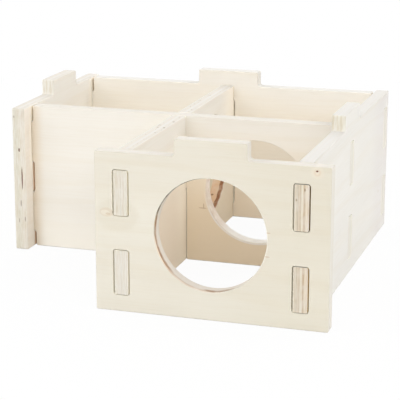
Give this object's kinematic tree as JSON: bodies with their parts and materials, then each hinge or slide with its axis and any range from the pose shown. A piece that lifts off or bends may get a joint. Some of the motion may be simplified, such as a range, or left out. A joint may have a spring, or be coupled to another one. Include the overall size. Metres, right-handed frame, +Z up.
{
  "type": "hamster house",
  "caption": "Open-topped, floorless L-shaped hamster house of slotted plywood panels: chambers linked by round doorways, with a round entrance in the front panel.",
  "frame": {"origin": "on the ground at the centre of the footprint's bounding box", "axes": "+Y towards the back, away from the entrance; +X to the right of someone facing the entrance; +Z up"},
  "size_m": [0.246, 0.243, 0.1105],
  "materials": {
    "front_panel": "bare sanded light plywood, plies visible on the edges",
    "back_panel": "bare sanded light plywood, plies visible on the edges",
    "left_side_panel": "bare sanded light plywood, plies visible on the edges",
    "right_side_panel": "bare sanded light plywood, plies visible on the edges",
    "long_partition": "bare sanded light plywood, plies visible on the edges",
    "cross_partition": "bare sanded light plywood, plies visible on the edges"
  },
  "bodies": {
    "root": {"front_panel": "front_panel", "back_panel": "back_panel", "left_side_panel": "left_side_panel", "right_side_panel": "right_side_panel", "long_partition": "long_partition", "cross_partition": "cross_partition"}
  },
  "joints": []
}
